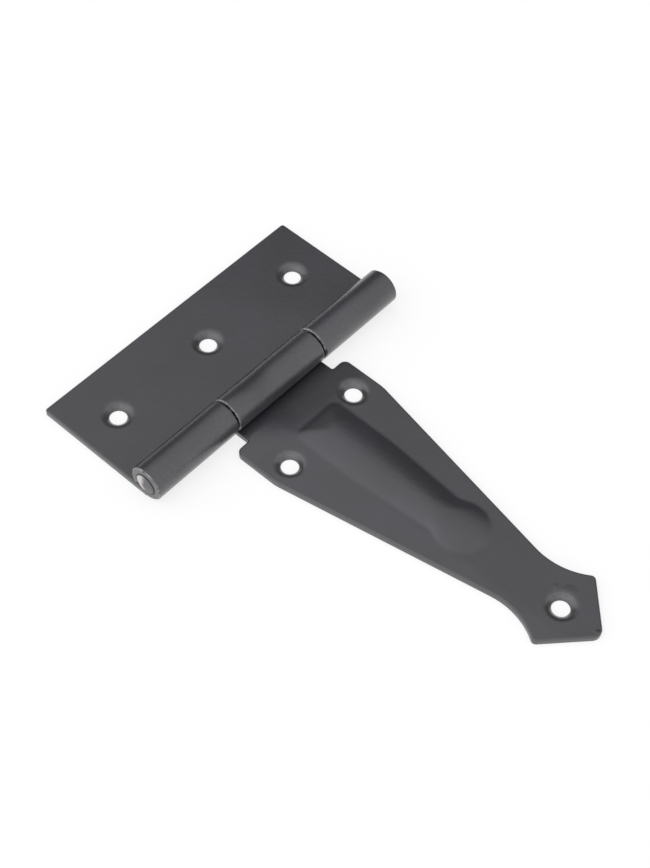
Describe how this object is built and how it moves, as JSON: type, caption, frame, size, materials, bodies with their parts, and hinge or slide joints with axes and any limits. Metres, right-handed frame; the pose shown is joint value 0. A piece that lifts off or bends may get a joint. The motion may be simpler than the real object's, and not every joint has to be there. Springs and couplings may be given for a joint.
{
  "type": "t hinge",
  "caption": "Black T hinge: a plain cross leaf and a long tapered strap with a pressed rib and a spear tip, rolled round one pin, with countersunk screw holes.",
  "frame": {"origin": "under the middle of the pin, on the plane of the leaves' back faces", "axes": "+X along the strap to its tip, +Y along the pin, +Z away from the surface it is screwed to"},
  "size_m": [0.15, 0.0946, 0.0104],
  "materials": {
    "black_coat": "satin black coat",
    "pin_steel": "dull steel, thinly coated"
  },
  "bodies": {
    "leaf": {"cross_leaf": "black_coat", "hinge_pin": "pin_steel"},
    "strap": {"strap_leaf": "black_coat"}
  },
  "joints": [
    {"name": "strap_swing", "type": "hinge", "parent": "leaf", "child": "strap", "pos_m": [0, 0, 0.0052], "axis": [0, -1, 0], "range_deg": [-90, 180]}
  ]
}
